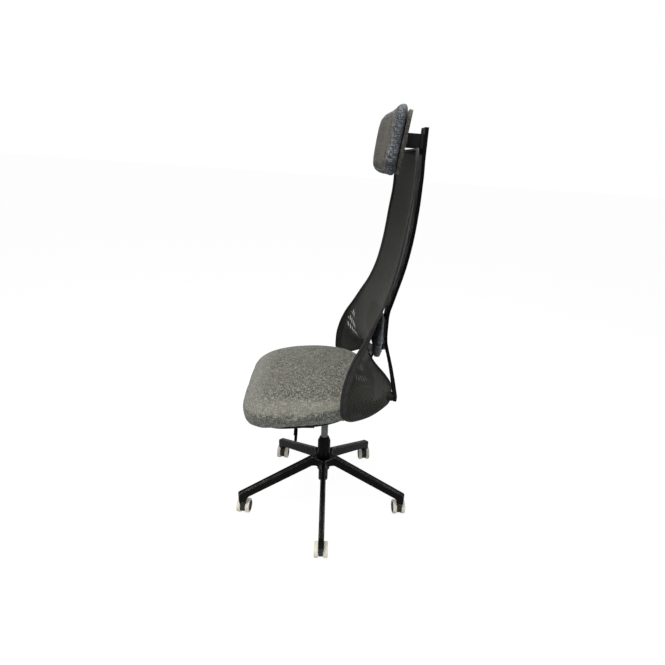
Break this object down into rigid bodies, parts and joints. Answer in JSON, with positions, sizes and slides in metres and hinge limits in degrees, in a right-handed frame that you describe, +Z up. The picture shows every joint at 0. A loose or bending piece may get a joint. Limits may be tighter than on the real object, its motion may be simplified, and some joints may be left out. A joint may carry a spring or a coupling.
{
  "type": "office chair",
  "caption": "Tall office task chair: one-piece wrap-around mesh back on a forked spine, padded seat, sliding headrest and lumbar pad, gas lift, tilt and a star base on twin-wheel casters.",
  "frame": {"origin": "on the floor, under the swivel axis", "axes": "+Z up; the sitter faces -Y; +X is the sitter's left"},
  "size_m": [0.6274, 0.6393, 1.3529],
  "materials": {
    "black_steel": "satin black powder coat",
    "black_nylon": "fine matt texture",
    "bright_steel": "bright zinc",
    "grey_melange": "woven grey melange",
    "blue_grey_cloth": "woven blue-grey melange",
    "mesh_cloth": "open black mesh",
    "hem_band": "tight dark knit over a bent rod",
    "soft_tread": "off-white soft tread"
  },
  "bodies": {
    "base": {"star_base": "black_steel", "lift_tube": "black_steel", "lift_bush": "black_nylon", "caster_stems": "bright_steel"},
    "lift_core": {"lift_rod": "bright_steel", "rod_clip": "bright_steel", "thrust_bearing": "bright_steel"},
    "column": {"gas_cylinder": "bright_steel", "tilt_housing": "black_steel", "tilt_axle": "bright_steel", "tilt_spring": "bright_steel"},
    "release_pin": {"release_pin": "bright_steel"},
    "height_lever": {"height_lever": "black_nylon"},
    "lock_lever": {"lock_lever": "black_nylon"},
    "tension_knob": {"tension_knob": "black_nylon"},
    "upper": {"seat_carrier": "black_steel", "back_yoke": "black_steel", "seat_pan": "black_nylon", "seat_screws": "bright_steel", "yoke_screws": "bright_steel", "seat_cushion": "grey_melange", "spine": "black_steel", "spine_screws": "bright_steel", "back_frame": "hem_band", "back_mesh": "mesh_cloth"},
    "lumbar_support": {"lumbar_bracket": "black_nylon", "lumbar_pad": "blue_grey_cloth"},
    "headrest": {"headrest_bracket": "black_nylon", "headrest_shell": "black_nylon", "headrest_pad": "grey_melange"},
    "caster_1": {"caster_fork_1": "black_nylon", "caster_axle_1": "bright_steel"},
    "left_wheel_1": {"left_hub_1": "black_nylon", "left_tyre_1": "soft_tread"},
    "right_wheel_1": {"right_hub_1": "black_nylon", "right_tyre_1": "soft_tread"},
    "caster_2": {"caster_fork_2": "black_nylon", "caster_axle_2": "bright_steel"},
    "left_wheel_2": {"left_hub_2": "black_nylon", "left_tyre_2": "soft_tread"},
    "right_wheel_2": {"right_hub_2": "black_nylon", "right_tyre_2": "soft_tread"},
    "caster_3": {"caster_fork_3": "black_nylon", "caster_axle_3": "bright_steel"},
    "left_wheel_3": {"left_hub_3": "black_nylon", "left_tyre_3": "soft_tread"},
    "right_wheel_3": {"right_hub_3": "black_nylon", "right_tyre_3": "soft_tread"},
    "caster_4": {"caster_fork_4": "black_nylon", "caster_axle_4": "bright_steel"},
    "left_wheel_4": {"left_hub_4": "black_nylon", "left_tyre_4": "soft_tread"},
    "right_wheel_4": {"right_hub_4": "black_nylon", "right_tyre_4": "soft_tread"},
    "caster_5": {"caster_fork_5": "black_nylon", "caster_axle_5": "bright_steel"},
    "left_wheel_5": {"left_hub_5": "black_nylon", "left_tyre_5": "soft_tread"},
    "right_wheel_5": {"right_hub_5": "black_nylon", "right_tyre_5": "soft_tread"}
  },
  "joints": [
    {"name": "swivel", "type": "hinge", "parent": "base", "child": "lift_core", "pos_m": [0, 0, 0.2], "axis": [0, 0, 1], "continuous": true},
    {"name": "lift", "type": "slide", "parent": "lift_core", "child": "column", "axis": [0, 0, 1], "range_m": [-0.11, 0]},
    {"name": "tilt", "type": "hinge", "parent": "column", "child": "upper", "pos_m": [0, 0.045, 0.426], "axis": [-1, 0, 0], "range_deg": [0, 15], "stiffness_Nm_per_rad": 150, "springref_deg": -14.32},
    {"name": "height_lever", "type": "hinge", "parent": "column", "child": "height_lever", "pos_m": [0.03, -0.04, 0.4345], "axis": [0, -1, 0], "range_deg": [0, 6], "stiffness_Nm_per_rad": 0.6, "springref_deg": -11.46},
    {"name": "release_pin", "type": "slide", "parent": "column", "child": "release_pin", "axis": [0, 0, 1], "range_m": [-0.0032, 0]},
    {"name": "lock_lever", "type": "hinge", "parent": "column", "child": "lock_lever", "pos_m": [-0.03, -0.04, 0.4345], "axis": [0, 1, 0], "range_deg": [0, 8]},
    {"name": "tension_knob", "type": "hinge", "parent": "column", "child": "tension_knob", "pos_m": [0, -0.085, 0.4], "axis": [0, 0, 1], "range_deg": [-360, 720]},
    {"name": "lumbar_height", "type": "slide", "parent": "upper", "child": "lumbar_support", "axis": [0, 0, 1], "range_m": [-0.014, 0.014]},
    {"name": "headrest_height", "type": "slide", "parent": "upper", "child": "headrest", "axis": [0, 0, 1], "range_m": [0, 0.03]},
    {"name": "caster_swivel_1", "type": "hinge", "parent": "base", "child": "caster_1", "pos_m": [0.31095, -0.00543, 0.05], "axis": [0, 0, 1], "continuous": true},
    {"name": "left_roll_1", "type": "hinge", "parent": "caster_1", "child": "left_wheel_1", "pos_m": [0.29296, -0.0048, 0.027], "axis": [-0.0349, -0.9994, 0], "continuous": true},
    {"name": "right_roll_1", "type": "hinge", "parent": "caster_1", "child": "right_wheel_1", "pos_m": [0.29296, -0.0048, 0.027], "axis": [-0.0349, -0.9994, 0], "continuous": true},
    {"name": "caster_swivel_2", "type": "hinge", "parent": "base", "child": "caster_2", "pos_m": [0.10125, 0.29406, 0.05], "axis": [0, 0, 1], "continuous": true},
    {"name": "left_roll_2", "type": "hinge", "parent": "caster_2", "child": "left_wheel_2", "pos_m": [0.08326, 0.29343, 0.027], "axis": [0.0349, -0.9994, 0], "continuous": true},
    {"name": "right_roll_2", "type": "hinge", "parent": "caster_2", "child": "right_wheel_2", "pos_m": [0.08326, 0.29343, 0.027], "axis": [0.0349, -0.9994, 0], "continuous": true},
    {"name": "caster_swivel_3", "type": "hinge", "parent": "base", "child": "caster_3", "pos_m": [-0.24838, 0.18716, 0.05], "axis": [0, 0, 1], "continuous": true},
    {"name": "left_roll_3", "type": "hinge", "parent": "caster_3", "child": "left_wheel_3", "pos_m": [-0.26633, 0.18591, 0.027], "axis": [0.0698, -0.9976, 0], "continuous": true},
    {"name": "right_roll_3", "type": "hinge", "parent": "caster_3", "child": "right_wheel_3", "pos_m": [-0.26633, 0.18591, 0.027], "axis": [0.0698, -0.9976, 0], "continuous": true},
    {"name": "caster_swivel_4", "type": "hinge", "parent": "base", "child": "caster_4", "pos_m": [-0.25476, -0.17838, 0.05], "axis": [0, 0, 1], "continuous": true},
    {"name": "left_roll_4", "type": "hinge", "parent": "caster_4", "child": "left_wheel_4", "pos_m": [-0.27266, -0.1765, 0.027], "axis": [-0.1045, -0.9945, 0], "continuous": true},
    {"name": "right_roll_4", "type": "hinge", "parent": "caster_4", "child": "right_wheel_4", "pos_m": [-0.27266, -0.1765, 0.027], "axis": [-0.1045, -0.9945, 0], "continuous": true},
    {"name": "caster_swivel_5", "type": "hinge", "parent": "base", "child": "caster_5", "pos_m": [0.09093, -0.29741, 0.05], "axis": [0, 0, 1], "continuous": true},
    {"name": "left_roll_5", "type": "hinge", "parent": "caster_5", "child": "left_wheel_5", "pos_m": [0.0731, -0.29491, 0.027], "axis": [-0.1392, -0.9903, 0], "continuous": true},
    {"name": "right_roll_5", "type": "hinge", "parent": "caster_5", "child": "right_wheel_5", "pos_m": [0.0731, -0.29491, 0.027], "axis": [-0.1392, -0.9903, 0], "continuous": true}
  ],
  "couplings": [
    {"joint": "release_pin", "follows": "height_lever", "m_per_rad": -0.03}
  ]
}
